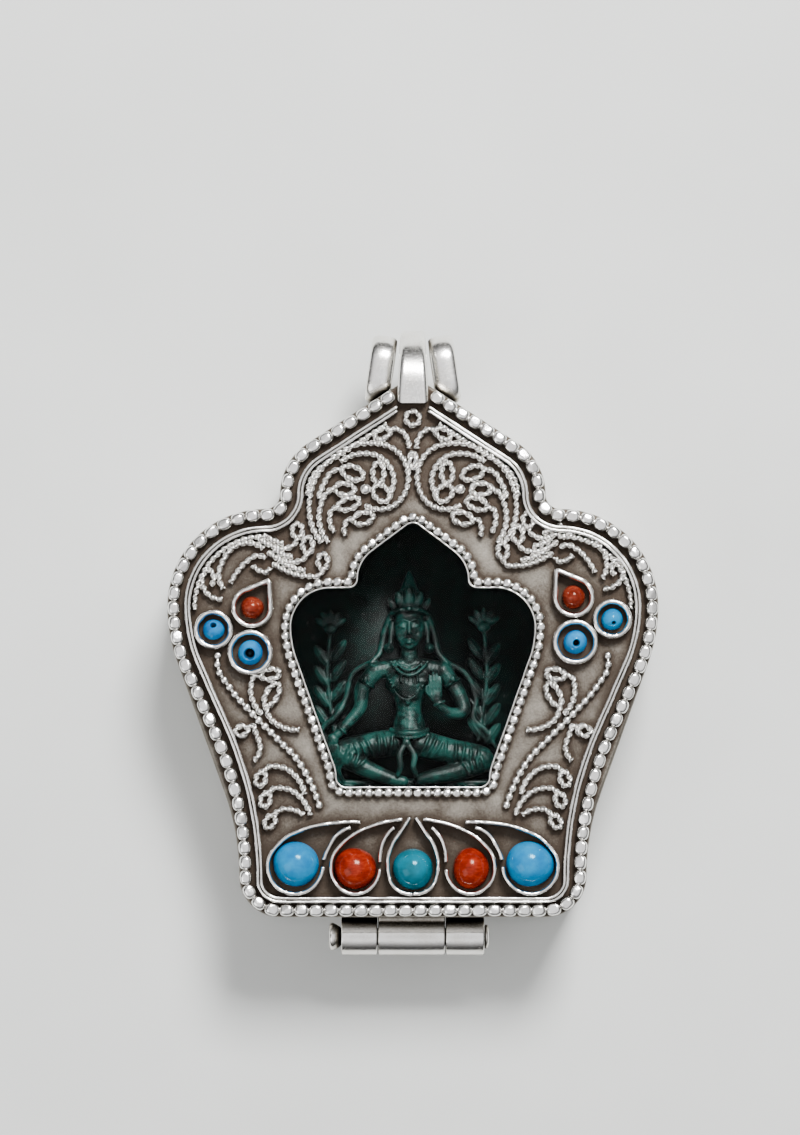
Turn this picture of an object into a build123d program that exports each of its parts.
"""Ghau amulet box: a silver prayer box with a hinged filigree lid and a carved figure behind its window.

The plan is drawn with X to the right, Y towards the bail and Z out of the front. Y = 0 is the middle
of the lower run of the rim bead wire and Z = 0 is the flat back. On export every piece is moved along
Y, so that the origin lies on the back under the middle of the whole box. Sizes are in millimetres.
"""
import math
import os
from collections import namedtuple
from dataclasses import dataclass, replace
from functools import partial

from build123d import *

os.makedirs("parts", exist_ok=True)


@dataclass(frozen=True)
class Lobes:
    """Right half of a five-lobed outline, from the middle of its bottom run to its apex."""
    base_half: float      # half width at the foot of the flank
    bottom: float         # height of the bottom run
    corner_r: float       # bottom corner
    flank_bend: float     # lean of the flank over that of a flank with no straight
    under_share: float    # share of the flank's two radii that is the round under the shoulder
    shoulder_half: float  # half width over the shoulders
    shoulder_y: float     # height of the widest place
    lobe_r: float         # round over the shoulder
    ledge: float          # level run from the shoulder to the notch
    notch_r: float        # hollow between shoulder and crown
    crown_r: float        # round of the crown
    crown_turn: float     # how far that round turns, in degrees
    apex_r: float         # round of the apex


# A wire with a loop: the stem's points, then an oval of two half axes, its root pointing along tilt, gone
# round left (turn 1) or right (turn -1) as far as sweep
Curl = namedtuple("Curl", "stem centre half tilt turn sweep", defaults=(325,))
# A planar route: arcs are (radius, turn), straights (length, 0); left turns are positive
Route = namedtuple("Route", "start heading moves")
Bead = namedtuple("Bead", "pitch width height neck full_at")
# A round stone in its cup; tip is where a pear-shaped cup comes to a point
Setting = namedtuple("Setting", "x y stone_r stone_h cup_r tip")

# Outlines; what lies inside the rim is drawn for these half widths of it and stretched across to any other
DRAWN_BASE_HALF = 14.25
DRAWN_SHOULDER_HALF = 20.45
RIM = Lobes(base_half=14.25, bottom=0.0, corner_r=2.9, flank_bend=0.8, under_share=0.307,
            shoulder_half=20.45, shoulder_y=26.0, lobe_r=7.75, ledge=0.05, notch_r=1.85, crown_r=4.7,
            crown_turn=57.0, apex_r=2.6)
BASE_FIT = RIM.base_half / DRAWN_BASE_HALF
SHOULDER_FIT = RIM.shoulder_half / DRAWN_SHOULDER_HALF
WINDOW = Lobes(base_half=6.5 * BASE_FIT, bottom=10.55, corner_r=0.8, flank_bend=0.58, under_share=0.73,
               shoulder_half=10.4 * SHOULDER_FIT, shoulder_y=24.2, lobe_r=3.3, ledge=1.6, notch_r=0.8,
               crown_r=2.9, crown_turn=53.0, apex_r=0.9)
WALL_FLANK_BEND = 0.666   # the wall's flank bulges out past the bead wire
WALL_UNDER_SHARE = 0.384
EDGE = 0.6                # from the rim bead wire's middle to the outside of the wall

# Box
BACK_T = 0.7
WALL_T = 0.8
CASE_DEPTH = 7.0
SEAM = 0.1
LID_DEPTH = 4.5
FACE_T = 0.7
EDGE_ROUND = 0.3
COLLAR_T = 0.5
COLLAR_CLEAR = 0.12
COLLAR_PROUD = 0.9

# Window pane and its clips
PANE_T = 1.0
PANE_LAP = 1.0
CLIP_T = 0.4
CLIP_W = 2.0
CLIP_LAP = 0.8
CLIP_FOOT = 1.1
CLIP_CLEAR = 0.05
CLIP_AT = (3.0, 13.0, 23.0, 33.0)   # distances along each half of the window's edge

# Hinge
BARREL_R = 1.6
BARREL_CLEAR = 0.15
KNUCKLE_LENGTHS = (3.1, 5.75, 3.3)   # left, middle, right
KNUCKLE_GAP = 0.08
LEAF_H = 0.9                    # leaf that joins a knuckle to its wall
PIN_R = 0.75
PIN_CLEAR = 0.04
PIN_FIT = 0.01
PIN_END_LEFT = (1.1, 1.25)      # length and radius of the spread end
PIN_END_RIGHT = (0.45, 1.05)
PIN_FLARE = 0.6                 # where the left end begins to spread

# Bail
BAIL_RISE = 2.1                 # cord axis above the apex of the wall
RING_BORE_R = 1.4
RING_T = 0.95
RING_W = 2.1
RING_X = 2.65
RING_LEAN = 8.0                 # the rings lean together at the top, in degrees
RING_FOOT = (1.9, 1.8)          # across and front to back
RING_SIDE = 0.45                # flat of a ring's edge outside its bore
STRAP_T = 1.1
STRAP_BORE_R = 1.65
STRAP_BEND_R = 4.0
STRAP_FOOT = 1.9
STRAP_HALF_FOOT = 1.35
STRAP_HALF_TOP = 1.05
STRAP_END = 125.0               # how far past the cord's outer side the strap's hook runs, in degrees
STRAP_ROUND = 0.45

# Bead wires: the share of width and height left at the necks, and where along its pitch a bead is full
RIM_BEAD = Bead(pitch=1.27, width=1.1, height=1.1, neck=0.62, full_at=(0.3, 0.7))
WINDOW_BEAD = Bead(pitch=0.84, width=0.82, height=0.8, neck=0.6, full_at=(0.5,))
CHAIN_BEAD = Bead(pitch=0.76, width=0.7, height=0.65, neck=0.55, full_at=(0.5,))
BEAD_SECTION = ((-0.36, 0), (0.36, 0), (0.5, 0.5), (0.28, 1), (-0.28, 1), (-0.5, 0.5))
WINDOW_BEAD_OUT = 0.55          # from the window's edge to the middle of its bead wire
RIM_STRAP_GAP = 0.35            # along the rim, between the strap and the first bead
BUTT_GAP = 0.04

# Fence of the filigree tray: two strips side by side
FENCE_INSET = 1.15
FENCE_DROP = 0.3                # the fence runs this much nearer to the beads along the bottom
FENCE_T = 0.24
FENCE_GAP = 0.05
FENCE_H = 1.0

# Filigree and settings
WIRE_W = 0.4
WIRE_H = 0.85
PETAL_W = 0.3
PETAL_H = 1.45
CUP_T = 0.32
CUP_H = 1.3
GIRDLE_H = 0.45                 # upright part of a stone below its dome
SHOULDER_SHIFT = 0.45           # the right shoulder's work sits this much high, the left's as much low
EYELET_DROP = 2.55              # below the top of the rim bead wire
EYELET_R = 0.6
GRANULE = (4.05, 36.0, 0.48)
BASE_WORK_TOP = 8.0             # up to here the work is stretched as the base is
SHOULDER_WORK_BOTTOM = 20.0     # and from here up as the shoulders are

CROWN_WIRES = (
    Curl([(7.8, 31.4), (8.65, 32.9), (8.9, 34.6), (7.0, 38.65), (4.5, 39.9)], (2.9, 37.1), (2.85, 2.5),
         80, 1, 220),
    Curl([(6.2, 38.35), (4.4, 39.05), (2.7, 38.7), (1.65, 37.1), (1.85, 35.7)], (2.7, 35.65), (0.8, 0.6),
         225, 1, 265),
    Curl([(8.05, 35.2), (7.6, 36.5), (6.8, 37.55)], (5.15, 37.4), (0.95, 0.55), 20, 1),
    Curl([(7.2, 31.4), (7.95, 32.9), (7.95, 34.3), (7.15, 35.85)], (5.85, 36.0), (0.85, 0.5), 5, 1),
    Curl([(6.7, 32.3), (7.1, 33.4), (6.85, 34.3)], (5.5, 34.75), (0.95, 0.47), -20, 1),
    Curl([(5.75, 32.0), (5.85, 32.8), (5.45, 33.4)], (4.25, 33.5), (0.85, 0.5), -15, 1),
    Curl([], (2.95, 37.4), (0.9, 0.48), 90, 1),
    Curl([(0.34, 39.5), (0.5, 40.4), (1.0, 41.0), (1.75, 41.15)], (2.6, 40.75), (0.7, 0.42), 155, -1, 300),
)
SHOULDER_WIRES = (
    Curl([(13.3, 32.3), (12.2, 31.65), (11.0, 31.35), (10.0, 31.95)], (9.9, 32.9), (0.62, 0.44),
         270, -1, 250),
    Curl([(12.4, 31.1), (11.4, 30.45), (10.2, 30.2), (9.2, 30.6)], (9.0, 31.65), (0.68, 0.43), 270, -1),
    Curl([(12.0, 30.1), (10.9, 29.45), (9.3, 29.0), (7.85, 29.25)], (7.7, 30.25), (0.65, 0.42), 270, -1),
    [(12.8, 31.35), (14.1, 31.85), (15.2, 31.55), (16.2, 30.4), (16.6, 29.0), (16.2, 27.9)],
    [(12.6, 30.5), (13.2, 30.75), (14.1, 30.35), (15.0, 29.4), (15.6, 28.4)],
    [(12.2, 29.7), (12.5, 29.35), (13.0, 29.4), (13.7, 29.9)],
    [(16.3, 27.0), (17.2, 27.2), (17.9, 27.95), (18.0, 28.9), (17.5, 29.5), (17.05, 29.0), (17.3, 28.2)],
)
FLANK_WIRES = (
    Curl([(12.9, 16.7), (13.55, 17.6), (13.85, 18.9), (13.4, 20.0)], (12.2, 20.15), (0.8, 0.45), -10, 1),
    Curl([(9.7, 15.4), (11.2, 15.65), (12.2, 16.4)], (12.05, 18.4), (1.05, 0.5), -62, 1, 300),
    Curl([(13.6, 12.75), (13.1, 13.5), (13.3, 14.8), (13.95, 15.7)], (14.65, 15.3), (0.55, 0.42), 165, -1),
    Curl([(9.25, 9.9), (9.9, 11.3), (11.2, 12.2), (12.5, 12.1)], (13.0, 11.2), (0.62, 0.42), 110, -1),
    Curl([(8.75, 8.1), (9.4, 9.4), (10.8, 10.35), (12.1, 10.25)], (12.6, 9.4), (0.6, 0.42), 110, -1),
    Curl([(9.35, 8.1), (10.4, 8.6), (11.5, 8.45)], (12.2, 7.55), (0.6, 0.42), 125, -1),
)
CHAIN = ((16.6, 22.1), (16.7, 20.8), (15.7, 19.05), (13.7, 16.75), (11.7, 14.75), (9.85, 12.8), (8.6, 10.6),
         (7.9, 8.6))

# Right half; the left half is its mirror image
SHOULDER_SETTINGS = {
    "coral": Setting(13.75, 26.3, 1.05, 1.5, 1.45, (12.3, 28.6)),
    "outer_turquoise": Setting(17.05, 24.4, 0.95, 1.35, 1.35, None),
    "inner_turquoise": Setting(13.9, 22.45, 1.1, 1.5, 1.6, None),
}
BASE_STONES = {
    "outer_turquoise": Setting(10.0, 3.95, 2.05, 2.1, None, None),
    "coral": Setting(4.95, 3.55, 1.8, 2.0, None, None),
}
CENTRE_STONE = Setting(0.0, 3.5, 1.8, 2.0, None, None)
PETALS = {
    "outer": (
        [(4.5, 7.5), (7.1, 7.4), (9.4, 6.85), (11.3, 5.8), (12.35, 4.0), (11.7, 2.1), (10.0, 1.4),
         (8.3, 2.2), (7.65, 3.7)],
        [(7.6, 4.3), (7.1, 5.5), (6.4, 6.5), (5.3, 7.05)],
    ),
    "coral": (
        [(0.9, 7.75), (2.6, 7.45), (4.2, 6.9), (5.8, 5.9), (6.9, 4.3), (6.7, 2.5), (5.0, 1.4), (3.4, 2.1),
         (2.85, 3.5)],
        [(2.8, 4.1), (2.7, 5.3), (2.3, 6.3), (1.6, 7.05)],
    ),
}
PETAL_CENTRE = [(0.25, 7.9), (0.9, 6.9), (1.8, 5.5), (2.15, 3.7), (1.5, 1.9), (0.03, 1.4)]

# Carved plaque and figure
PLAQUE_T = 1.1
PLAQUE_LAP = 1.6                # plaque past the window's edge
FIGURE_Z = 2.1                  # level of the figure's long axis
HEAD = (24.5, 1.6)              # height of its middle and radius
BROW = 45.0                     # where the crown sits on the head, in degrees above the level
CROWN_Y = 27.0
CROWN_R = 0.9
CROWN_TIP_R = 0.25
CROWN_TOP = 29.0
NECK_R = 0.95
NECK_Y = 22.5
SHOULDER_LINE = 20.9
SHOULDER_HALF = 3.2
CHEST_Y = 19.7
CHEST_R = 2.8
WAIST = (15.6, 1.9)             # height and radius
LAP_Y = 13.4
KNEE_X = 6.3
FOOT_X = 0.8
FOOT_Z = 3.1
LEG_R = 1.5
ARM_R = 0.85
JOINT = 1.06                    # joints over limbs
HAND_RAISED = (2.1, 18.8, 4.1)
HAND_ON_KNEE = (-6.0, 15.2, 3.4)
ELBOW_X = 4.9
ELBOW_Y = 17.3
LOTUS_X = 6.8
LOTUS_Y = 24.6
LOTUS_R = 1.5
LOTUS_TOP_R = 0.9
LOTUS_H = 0.75
STEM_R = 0.35
HALO_R = 4.3
HALO_H = 0.5
THRONE_Y = 10.7
THRONE_PETALS = 7
THRONE_PITCH = 2.1
THRONE_R = 1.3
THRONE_TOP_R = 0.84
THRONE_H = 1.3

# Levels
FACE_Z = CASE_DEPTH + SEAM + LID_DEPTH
HINGE_Z = CASE_DEPTH + SEAM / 2
UNDER_FACE = FACE_Z - FACE_T
PANE_Z = UNDER_FACE - PANE_T


def along(heading, distance):
    """Step of a distance along a heading in degrees."""
    angle = math.radians(heading)
    return distance * math.cos(angle), distance * math.sin(angle)


def walk(route):
    """Each move of a route as (x, y, heading, size, turn) at its beginning, then the end state."""
    x, y = route.start
    heading = route.heading
    for size, turn in route.moves:
        yield x, y, heading, size, turn
        if turn == 0:
            dx, dy = along(heading, size)
            x, y = x + dx, y + dy
        else:
            side = math.copysign(90, turn)
            cx, cy = along(heading + side, size)
            ox, oy = along(heading + turn - side, size)
            x, y = x + cx + ox, y + cy + oy
            heading += turn
    yield x, y, heading, 0, 0


def end_of(route):
    """Where a route ends, as (x, y, heading)."""
    *_, (x, y, heading, _, _) = walk(route)
    return x, y, heading


def edges_of(route):
    """The lines and arcs of a route."""
    edges = []
    for x, y, heading, size, turn in walk(route):
        if size == 0:
            continue
        if turn == 0:
            dx, dy = along(heading, size)
            edges.append(Line((x, y), (x + dx, y + dy)))
        else:
            side = math.copysign(90, turn)
            cx, cy = along(heading + side, size)
            edges.append(CenterArc((x + cx, y + cy), size, heading - side, turn))
    return edges


def shifted(route, distance):
    """The route moved sideways by a distance, to its left if positive."""
    dx, dy = along(route.heading + 90, distance)
    moves = []
    for size, turn in route.moves:
        if turn != 0:
            size -= distance * math.copysign(1, turn)
        moves.append((size, turn))
    return Route((route.start[0] + dx, route.start[1] + dy), route.heading, moves)


def span_of(size, turn):
    """Length of one move."""
    return size if turn == 0 else size * math.radians(abs(turn))


def length_of(route):
    """Length of a route."""
    return sum(span_of(size, turn) for size, turn in route.moves)


def station(route, distance):
    """Place and heading at a distance along a route; past its end, those of the end."""
    for x, y, heading, size, turn in walk(route):
        span = span_of(size, turn)
        if 0 < distance <= span:
            move = (distance, 0) if turn == 0 else (size, turn * distance / span)
            return end_of(Route((x, y), heading, [move]))
        if distance <= 0:
            break
        distance -= span
    return x, y, heading


def half_outline(lobes):
    """Route of the right half of a five-lobed outline, counterclockwise."""
    out = lobes.shoulder_half - lobes.base_half
    up = lobes.shoulder_y - lobes.bottom - lobes.corner_r
    lean = lobes.flank_bend * 2 * math.atan2(out, up)
    rounds = (up * math.sin(lean) - out * math.cos(lean)) / (1 - math.cos(lean))
    straight = out * math.sin(lean) / (1 - math.cos(lean)) - up
    turn = math.radians(lobes.crown_turn)
    crown_half = lobes.shoulder_half - lobes.lobe_r - lobes.ledge - lobes.notch_r
    crown_end = crown_half - lobes.crown_r * (1 - math.cos(turn))
    moves = [
        (lobes.base_half - lobes.corner_r, 0),
        (lobes.corner_r, 90),
        (rounds * (1 - lobes.under_share), -math.degrees(lean)),
        (straight, 0),
        (rounds * lobes.under_share, math.degrees(lean)),
        (lobes.lobe_r, 90),
        (lobes.ledge, 0),
        (lobes.notch_r, -90),
        (lobes.crown_r, lobes.crown_turn),
        ((crown_end - lobes.apex_r * math.cos(turn)) / math.sin(turn), 0),
        (lobes.apex_r, 90 - lobes.crown_turn),
    ]
    return Route((0, lobes.bottom), 0, moves)


def outline_face(route):
    """Face inside a half outline and its mirror image."""
    right = edges_of(route)
    left = [mirror(edge, about=Plane.YZ) for edge in right]
    return make_face(right + left)


def arc_to(place, heading, goal):
    """The one arc, or straight, that leaves a place along a heading and ends at a goal."""
    dx, dy = goal[0] - place[0], goal[1] - place[1]
    ux, uy = along(heading, 1)
    across = ux * dy - uy * dx
    if abs(across) < 1e-6:
        return math.hypot(dx, dy), 0
    return (dx * dx + dy * dy) / (2 * abs(across)), 2 * math.degrees(math.atan2(across, ux * dx + uy * dy))


def through(points):
    """Route of smooth biarcs through points."""
    chords = []
    for p, q in zip(points, points[1:]):
        chords.append((math.degrees(math.atan2(q[1] - p[1], q[0] - p[0])), math.dist(p, q)))
    tangents = []
    for (before, short), (after, far) in zip(chords, chords[1:]):
        bend = (after - before + 180) % 360 - 180
        tangents.append(before + bend * short / (short + far))
    tangents.insert(0, 2 * chords[0][0] - tangents[0])
    tangents.append(2 * chords[-1][0] - tangents[-1])
    moves = []
    for i, (p, q) in enumerate(zip(points, points[1:])):
        px, py = along(tangents[i], 1)
        qx, qy = along(tangents[i + 1], 1)
        vx, vy = q[0] - p[0], q[1] - p[1]
        spread = 2 * (1 - px * qx - py * qy)
        reach = vx * (px + qx) + vy * (py + qy)
        size = vx * vx + vy * vy
        if spread < 1e-6:
            step = size / (2 * reach)
        else:
            step = (math.sqrt(reach * reach + spread * size) - reach) / spread
        middle = ((p[0] + q[0] + step * (px - qx)) / 2, (p[1] + q[1] + step * (py - qy)) / 2)
        first = arc_to(p, tangents[i], middle)
        moves.append(first)
        moves.append(arc_to(middle, tangents[i] + first[1], q))
    return Route(points[0], tangents[0], moves)


def fitted(x, y):
    """Place on the face of a drawn place."""
    share = min(1, max(0, (y - BASE_WORK_TOP) / (SHOULDER_WORK_BOTTOM - BASE_WORK_TOP)))
    return x * (BASE_FIT + (SHOULDER_FIT - BASE_FIT) * share), y


def fitted_setting(setting, fit):
    """A drawn setting with its place and its radii stretched."""
    tip = setting.tip and (setting.tip[0] * fit, setting.tip[1])
    cup_r = setting.cup_r and setting.cup_r * fit
    return setting._replace(x=setting.x * fit, stone_r=setting.stone_r * fit, cup_r=cup_r, tip=tip)


def wire_route(wire, side, rise=0):
    """Route of a filigree wire on the right (side 1) or left (side -1)."""
    if isinstance(wire, Curl):
        points = list(wire.stem)
        first = 60 if wire.stem else 360 - wire.sweep
        tilt = math.radians(wire.tilt)
        for step in range(7):
            angle = wire.turn * math.radians(first + (wire.sweep - first) * step / 6)
            u, v = wire.half[0] * math.cos(angle), wire.half[1] * math.sin(angle)
            points.append((wire.centre[0] + u * math.cos(tilt) - v * math.sin(tilt),
                           wire.centre[1] + u * math.sin(tilt) + v * math.cos(tilt)))
    else:
        points = wire
    places = [fitted(x, y) for x, y in points]
    return through([(side * x, y + rise) for x, y in places])


def ribbon(route, width):
    """Face of a strip of even width along a route."""
    left = shifted(route, width / 2)
    right = shifted(route, -width / 2)
    ends = []
    for a, b in ((left.start, right.start), (end_of(left)[:2], end_of(right)[:2])):
        ends.append(Line(a, b))
    return make_face(edges_of(left) + edges_of(right) + ends)


def prism(face, low, high):
    """Solid over a face from one level to another."""
    return extrude(Pos(0, 0, low) * face, amount=high - low, dir=(0, 0, 1))


def loop_station(route, distance):
    """Station on a whole outline, counterclockwise from the middle of its bottom run."""
    half = length_of(route)
    if 0 <= distance <= half:
        return station(route, distance)
    x, y, heading = station(route, -distance if distance < 0 else 2 * half - distance)
    return -x, y, -heading


def bead_wire(place, begin, end, bead, base_z):
    """Beaded wire with a flat foot, faceted from necks to full beads; place gives its stations."""
    count = max(1, round((end - begin) / bead.pitch))
    pitch = (end - begin) / count
    sections = []
    for i in range(count):
        sections.append((begin + i * pitch, bead.neck))
        for share in bead.full_at:
            sections.append((begin + (i + share) * pitch, 1))
    sections.append((end, bead.neck))
    rings = []
    for distance, scale in sections:
        x, y, heading = place(distance)
        nx, ny = along(heading + 90, bead.width * scale)
        rise = bead.height * scale
        rings.append([(x + nx * u, y + ny * u, base_z + rise * v) for u, v in BEAD_SECTION])
    faces = [Face(Wire.make_polygon(rings[0])), Face(Wire.make_polygon(rings[-1]))]
    for near, far in zip(rings, rings[1:]):
        for i in range(len(BEAD_SECTION)):
            faces.append(Face(Wire.make_polygon([near[i - 1], near[i], far[i]])))
            faces.append(Face(Wire.make_polygon([near[i - 1], far[i], far[i - 1]])))
    return Solid(Shell(faces))


def cabochon(setting, side=1, rise=0):
    """Domed stone with a short upright girdle."""
    radius, height = setting.stone_r, setting.stone_h
    rise_of_dome = height - GIRDLE_H
    dome_r = (radius * radius + rise_of_dome * rise_of_dome) / (2 * rise_of_dome)
    spread = math.degrees(math.asin(radius / dome_r))
    if rise_of_dome > dome_r:
        spread = 180 - spread
    profile = make_face([
        Line((0, 0), (radius, 0)),
        Line((radius, 0), (radius, GIRDLE_H)),
        CenterArc((0, height - dome_r), dome_r, 90 - spread, spread),
        Line((0, height), (0, 0))])
    stone = revolve(Plane.XZ * profile, axis=Axis.Z)
    return Pos(side * setting.x, setting.y + rise, FACE_Z) * stone


def pear(x, y, radius, tip):
    """Face of a circle drawn out to a tip."""
    dx, dy = tip[0] - x, tip[1] - y
    reach = math.hypot(dx, dy)
    aim = math.degrees(math.atan2(dy, dx))
    spread = math.degrees(math.acos(radius / reach))
    a = along(aim + spread, radius)
    b = along(aim - spread, radius)
    arc = CenterArc((x, y), radius, aim + spread, 360 - 2 * spread)
    return make_face([arc, Line((x + b[0], y + b[1]), tip), Line(tip, (x + a[0], y + a[1]))])


def cup_face(setting, side, rise, grow):
    """Plan of a setting's cup, grown by a distance."""
    x, y = side * setting.x, setting.y + rise
    radius = setting.cup_r + grow
    if setting.tip is None:
        return Pos(x, y) * Circle(radius)
    tx, ty = side * setting.tip[0], setting.tip[1] + rise
    share = radius / setting.cup_r
    return pear(x, y, radius, (x + (tx - x) * share, y + (ty - y) * share))


def both(name):
    """The two names of a mirrored pair, with the side and the shoulder shift of each."""
    return ((name + "_left", -1, -SHOULDER_SHIFT), (name + "_right", 1, SHOULDER_SHIFT))


pieces = {}
rim = half_outline(RIM)
wall_line = half_outline(replace(RIM, flank_bend=WALL_FLANK_BEND, under_share=WALL_UNDER_SHARE))
wall = shifted(wall_line, -EDGE)
window = half_outline(WINDOW)
fence = shifted(half_outline(replace(RIM, bottom=RIM.bottom - FENCE_DROP)), FENCE_INSET)
window_wire = shifted(window, -WINDOW_BEAD_OUT)
wall_face = outline_face(wall)
wall_bottom = wall.start[1]
wall_apex = end_of(wall)[1]

# Walls and plates
inside = outline_face(shifted(wall, WALL_T))
collar_out = outline_face(shifted(wall, WALL_T + COLLAR_CLEAR))
collar_in = outline_face(shifted(wall, WALL_T + COLLAR_CLEAR + COLLAR_T))
back = prism(wall_face, 0, BACK_T)
pieces["back_plate"] = fillet(back.edges().group_by(Axis.Z)[0], EDGE_ROUND)
pieces["case_wall"] = prism(wall_face - inside, BACK_T, CASE_DEPTH)
pieces["inner_collar"] = prism(collar_out - collar_in, BACK_T, CASE_DEPTH + COLLAR_PROUD)
pieces["lid_wall"] = prism(wall_face - inside, CASE_DEPTH + SEAM, UNDER_FACE)
face = prism(wall_face, UNDER_FACE, FACE_Z)
face = fillet(face.edges().group_by(Axis.Z)[-1], EDGE_ROUND)
pieces["face_plate"] = face - prism(outline_face(window), UNDER_FACE, FACE_Z)
pieces["window_pane"] = prism(offset(outline_face(window), amount=PANE_LAP), PANE_Z, UNDER_FACE)

# Pane clips: a foot on the back of the face plate, a riser beside the pane and a lip under it
clip_profile = make_face(Polyline(
    (-CLIP_CLEAR, UNDER_FACE), (-CLIP_CLEAR - CLIP_T - CLIP_FOOT, UNDER_FACE),
    (-CLIP_CLEAR - CLIP_T - CLIP_FOOT, UNDER_FACE - CLIP_T), (-CLIP_CLEAR - CLIP_T, UNDER_FACE - CLIP_T),
    (-CLIP_CLEAR - CLIP_T, PANE_Z - CLIP_T), (CLIP_LAP, PANE_Z - CLIP_T), (CLIP_LAP, PANE_Z),
    (-CLIP_CLEAR, PANE_Z), close=True))
clips = []
for distance in CLIP_AT:
    for way in (1, -1):
        x, y, heading = loop_station(window, way * distance)
        dx, dy = along(heading - 90, PANE_LAP)
        clip = extrude(Plane.YZ * clip_profile, amount=CLIP_W / 2, both=True)
        clips.append(Pos(x + dx, y + dy, 0) * Rot(0, 0, heading) * clip)
pieces["pane_clips"] = Part() + clips

# Hinge
hinge_y = wall_bottom - BARREL_CLEAR - BARREL_R
barrel = sum(KNUCKLE_LENGTHS) + 2 * KNUCKLE_GAP
left_end, right_end = -barrel / 2, barrel / 2
middle_start = left_end + KNUCKLE_LENGTHS[0] + KNUCKLE_GAP
reach = wall_bottom - hinge_y
for name, start, length, up, clear in (
        ("hinge_knuckle_left", left_end, KNUCKLE_LENGTHS[0], -1, PIN_FIT),
        ("lid_knuckle", middle_start, KNUCKLE_LENGTHS[1], 1, PIN_CLEAR),
        ("hinge_knuckle_right", right_end - KNUCKLE_LENGTHS[2], KNUCKLE_LENGTHS[2], -1, PIN_FIT)):
    leaf_at = Pos(hinge_y + reach / 2, HINGE_Z + up * (SEAM + LEAF_H) / 2)
    eye = Pos(hinge_y, HINGE_Z)
    profile = eye * Circle(BARREL_R) + leaf_at * Rectangle(reach, LEAF_H)
    profile = profile - eye * Circle(PIN_R + clear)
    pieces[name] = extrude(Plane.YZ.offset(start) * profile, amount=length, dir=(1, 0, 0))
pin_profile = make_face(Polyline(
    (left_end - PIN_END_LEFT[0], 0), (left_end - PIN_END_LEFT[0], PIN_END_LEFT[1]),
    (left_end - PIN_FLARE, PIN_R), (right_end, PIN_R), (right_end, PIN_END_RIGHT[1]),
    (right_end + PIN_END_RIGHT[0], PIN_END_RIGHT[1]), (right_end + PIN_END_RIGHT[0], 0), close=True))
pieces["hinge_pin"] = Pos(0, hinge_y, HINGE_Z) * revolve(pin_profile, axis=Axis.X)

# Bail rings on the case, and the strap of the lid that hooks over between them
cord_y = wall_apex + BAIL_RISE
ring_edge = RING_BORE_R + RING_SIDE
ring_in = RING_BORE_R - RING_SIDE / 2
ring_profile = make_face([
    Line((-RING_W / 2, ring_in), (RING_W / 2, ring_in)),
    Line((RING_W / 2, ring_in), (RING_W / 2, ring_edge)),
    ThreePointArc((RING_W / 2, ring_edge), (0, RING_BORE_R + RING_T), (-RING_W / 2, ring_edge)),
    Line((-RING_W / 2, ring_edge), (-RING_W / 2, ring_in))])
bore = Rot(0, 90, 0) * Cylinder(RING_BORE_R, 4 * RING_X)
foot_high = -RING_BORE_R
foot_low = wall_apex - 2 * RING_X - cord_y
foot_at = Pos(0, (foot_high + foot_low) / 2, CASE_DEPTH - HINGE_Z - RING_FOOT[1] / 2)
foot = foot_at * Box(RING_FOOT[0], foot_high - foot_low, RING_FOOT[1])
for name, side, _ in both("bail_ring"):
    ring = Rot(0, 0, side * RING_LEAN) * (revolve(ring_profile, axis=Axis.X) + foot) - bore
    pieces[name] = Pos(side * RING_X, cord_y, HINGE_Z) * ring - prism(wall_face, 0, FACE_Z)
loop_r = STRAP_BORE_R + STRAP_T / 2
bend = (wall_apex, FACE_Z + STRAP_T / 2 - STRAP_BEND_R)
gap_y, gap_z = cord_y - bend[0], bend[1] - HINGE_Z
gap = math.hypot(gap_y, gap_z)
slope = math.degrees(math.acos((loop_r - STRAP_BEND_R) / gap) - math.atan2(gap_y, gap_z))
straight = math.sqrt(gap * gap - (loop_r - STRAP_BEND_R) ** 2)
strap_route = Route((wall_apex - STRAP_FOOT, FACE_Z + STRAP_T / 2), 0, [
    (STRAP_FOOT, 0), (STRAP_BEND_R, -slope), (straight, 0), (loop_r, -(90 - slope + STRAP_END))])
strap_top = cord_y + STRAP_BORE_R + STRAP_T
strap = extrude(Plane.YZ * ribbon(strap_route, STRAP_T), amount=STRAP_HALF_FOOT, both=True)
taper = make_face(Polyline(
    (-STRAP_HALF_FOOT, wall_apex - STRAP_FOOT), (STRAP_HALF_FOOT, wall_apex - STRAP_FOOT),
    (STRAP_HALF_TOP, strap_top), (-STRAP_HALF_TOP, strap_top), close=True))
strap = strap & prism(taper, 0, FACE_Z + STRAP_T)
pieces["bail_strap"] = fillet(strap.edges().filter_by(Axis.X, reverse=True), STRAP_ROUND)
strap_plan = offset(taper, amount=BUTT_GAP)

# Bead wires
rim_end = length_of(rim) - STRAP_HALF_FOOT - RIM_STRAP_GAP
pieces["rim_bead_wire"] = bead_wire(partial(loop_station, rim), -rim_end, rim_end, RIM_BEAD, FACE_Z)
window_end = 2 * length_of(window_wire) - BUTT_GAP
window_place = partial(loop_station, window_wire)
pieces["window_bead_wire"] = bead_wire(window_place, BUTT_GAP, window_end, WINDOW_BEAD, FACE_Z)
chain_plans = []
for name, side, _ in both("bead_chain"):
    chain = wire_route(CHAIN, side)
    pieces[name] = bead_wire(partial(station, chain), 0, length_of(chain), CHAIN_BEAD, FACE_Z)
    chain_plans.append(ribbon(chain, CHAIN_BEAD.width + BUTT_GAP))

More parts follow.
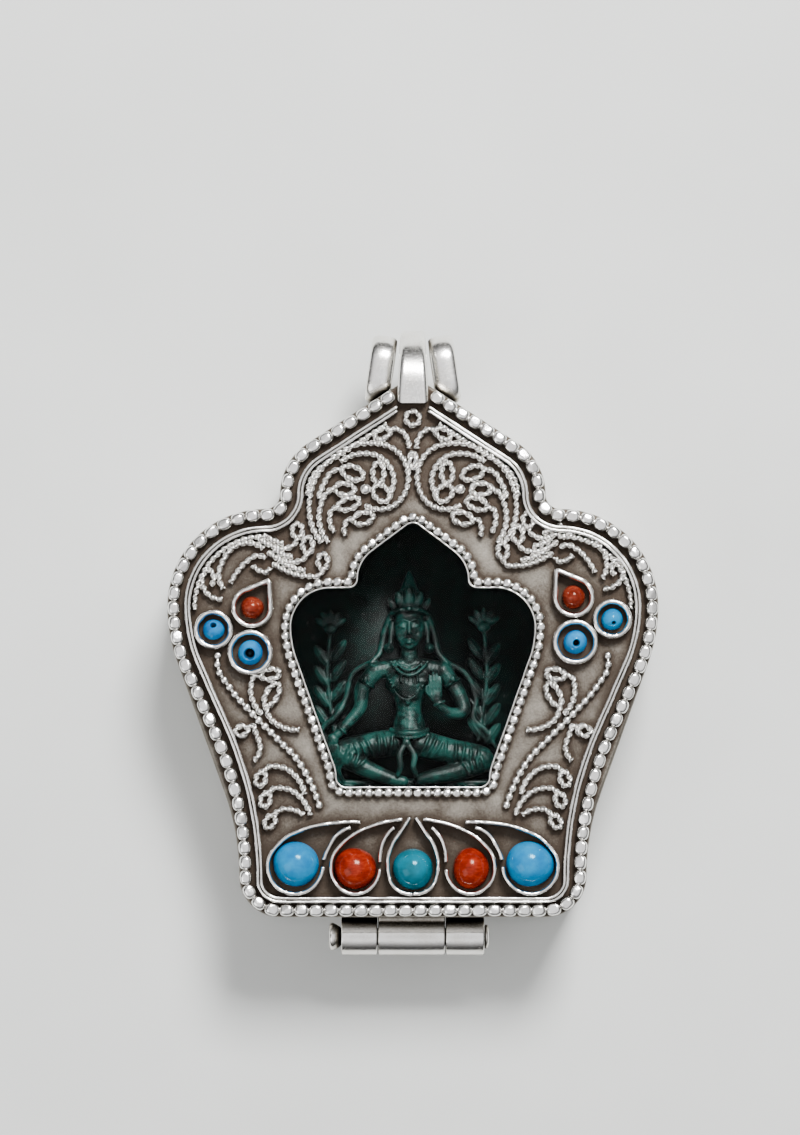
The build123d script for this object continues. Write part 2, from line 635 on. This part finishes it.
# Fence
for name, line in (("fence_strip_outer", -FENCE_T), ("fence_strip_inner", FENCE_GAP)):
    plan = outline_face(shifted(fence, line)) - outline_face(shifted(fence, line + FENCE_T)) - strap_plan
    pieces[name] = prism(plan, FACE_Z, FACE_Z + FENCE_H)
tray_edge = outline_face(shifted(fence, FENCE_GAP + FENCE_T))

# Settings of the shoulders and of the base row
cup_plans = []
for stone, drawn in SHOULDER_SETTINGS.items():
    setting = fitted_setting(drawn, SHOULDER_FIT)
    for name, side, rise in both("shoulder_" + stone):
        outer = cup_face(setting, side, rise, CUP_T)
        cup_plans.append(outer)
        pieces[name + "_cup"] = prism(outer - cup_face(setting, side, rise, 0), FACE_Z, FACE_Z + CUP_H)
        pieces[name] = cabochon(setting, side, rise)
for stone, drawn in BASE_STONES.items():
    for name, side, _ in both("base_" + stone):
        pieces[name] = cabochon(fitted_setting(drawn, BASE_FIT), side)
pieces["base_centre_turquoise"] = cabochon(fitted_setting(CENTRE_STONE, BASE_FIT))
for petal, strips in PETALS.items():
    for name, side, _ in both("petal_bezel_" + petal):
        plan = Sketch() + [ribbon(wire_route(strip, side), PETAL_W) for strip in strips]
        pieces[name] = prism(plan, FACE_Z, FACE_Z + PETAL_H)
plan = Sketch() + [ribbon(wire_route(PETAL_CENTRE, side), PETAL_W) for side in (-1, 1)]
pieces["petal_bezel_centre"] = prism(plan, FACE_Z, FACE_Z + PETAL_H)

# Eyelet and granules of the crown
eyelet_at = Pos(0, end_of(rim)[1] - EYELET_DROP)
eyelet_out = EYELET_R + WIRE_W / 2
eyelet = eyelet_at * (Circle(eyelet_out) - Circle(EYELET_R - WIRE_W / 2))
pieces["crown_eyelet"] = prism(eyelet, FACE_Z, FACE_Z + WIRE_H)
granule_x, granule_y = fitted(GRANULE[0], GRANULE[1])
granules = [Pos(side * granule_x, granule_y) * Circle(GRANULE[2]) for side in (-1, 1)]
pieces["crown_granules"] = prism(Sketch() + granules, FACE_Z, FACE_Z + WIRE_H)

# Filigree, kept clear of what it is soldered between
window_wire_plan = offset(outline_face(window), amount=WINDOW_BEAD_OUT + WINDOW_BEAD.width / 2 + BUTT_GAP)
tray = tray_edge - window_wire_plan - cup_plans - chain_plans
tray = tray - eyelet_at * Circle(eyelet_out + BUTT_GAP)
tray = tray - [offset(disc, amount=BUTT_GAP) for disc in granules]
for side in (-1, 1):
    free = tray
    for panel, wires, shift in (("crown", CROWN_WIRES, 0), ("shoulder", SHOULDER_WIRES, SHOULDER_SHIFT),
                                ("flank", FLANK_WIRES, 0)):
        plan = Sketch() + [ribbon(wire_route(wire, side, side * shift), WIRE_W) for wire in wires]
        name = "filigree_" + panel + ("_left" if side < 0 else "_right")
        pieces[name] = prism(plan & free, FACE_Z, FACE_Z + WIRE_H)
        free = free - plan


def along_from(ball, angle):
    """Place on the edge of a ball, given as its height and radius, at an angle above the level."""
    dx, dy = along(angle, ball[1])
    return dx, ball[0] + dy


def limb(points, radius):
    """Round limb through points, flat at the first and with slightly thicker joints at the others."""
    solids = []
    for a, b in zip(points, points[1:]):
        line = Vector(*b) - Vector(*a)
        rod = Pos(0, 0, line.length / 2) * Cylinder(radius, line.length)
        solids.append(Plane(origin=a, z_dir=line) * rod)
        solids.append(Pos(*b) * Sphere(JOINT * radius))
    return solids


# Carved plaque: a low slab of the window's shape with a seated figure in half relief
plaque_face = offset(outline_face(window), amount=PLAQUE_LAP)
plaque_top = BACK_T + PLAQUE_T
body_profile = make_face([
    Line((0, LAP_Y), (WAIST[1], LAP_Y)),
    Line((WAIST[1], LAP_Y), (WAIST[1], WAIST[0])),
    Spline((WAIST[1], WAIST[0]), (CHEST_R, CHEST_Y), (NECK_R, NECK_Y)),
    Line((NECK_R, NECK_Y), (NECK_R, HEAD[0])),
    Line((NECK_R, HEAD[0]), (0, HEAD[0])),
    Line((0, HEAD[0]), (0, LAP_Y))])
head_profile = make_face([
    CenterArc((0, HEAD[0]), HEAD[1], -90, 90 + BROW),
    Spline(along_from(HEAD, BROW), (CROWN_R, CROWN_Y), (CROWN_TIP_R, CROWN_TOP)),
    Line((CROWN_TIP_R, CROWN_TOP), (0, CROWN_TOP)),
    Line((0, CROWN_TOP), (0, HEAD[0] - HEAD[1]))])
low = FIGURE_Z
solids = [Pos(0, 0, low) * revolve(profile, axis=Axis.Y) for profile in (body_profile, head_profile)]
for side in (-1, 1):
    foot = (side * FOOT_X, LAP_Y - LEG_R, FOOT_Z)
    solids += limb([(0, LAP_Y, low), (side * KNEE_X, LAP_Y, low), foot], LEG_R)
    hand = HAND_RAISED if side > 0 else HAND_ON_KNEE
    elbow = (side * ELBOW_X, ELBOW_Y, low)
    solids += limb([hand, elbow, (side * SHOULDER_HALF, SHOULDER_LINE, low)], ARM_R)
    blossom = (side * LOTUS_X, LOTUS_Y, plaque_top)
    solids += limb([blossom, (side * KNEE_X, LAP_Y, plaque_top)], STEM_R)
    solids.append(Pos(*blossom) * Cone(LOTUS_R, LOTUS_TOP_R, 2 * LOTUS_H))
solids.append(Pos(0, HEAD[0], plaque_top) * Cylinder(HALO_R, 2 * HALO_H))
for i in range(THRONE_PETALS):
    x = (i - (THRONE_PETALS - 1) / 2) * THRONE_PITCH
    solids.append(Pos(x, THRONE_Y, plaque_top) * Cone(THRONE_R, THRONE_TOP_R, 2 * THRONE_H))
figure = Part() + solids
figure = split(figure, bisect_by=Plane.XY.offset(plaque_top - PLAQUE_T / 2), keep=Keep.TOP)
pieces["figure_plaque"] = prism(plaque_face, BACK_T, plaque_top) + figure

# Move to the shared origin and write one file for each piece
middle_y = (hinge_y - BARREL_R + strap_top) / 2
for name, piece in pieces.items():
    export_step(Pos(0, -middle_y, 0) * piece, f"parts/{name}.step")
print(len(pieces), "pieces, plan middle", round(middle_y, 3))
print("hinge", round(hinge_y - middle_y, 3), HINGE_Z, "cord", round(cord_y - middle_y, 3))
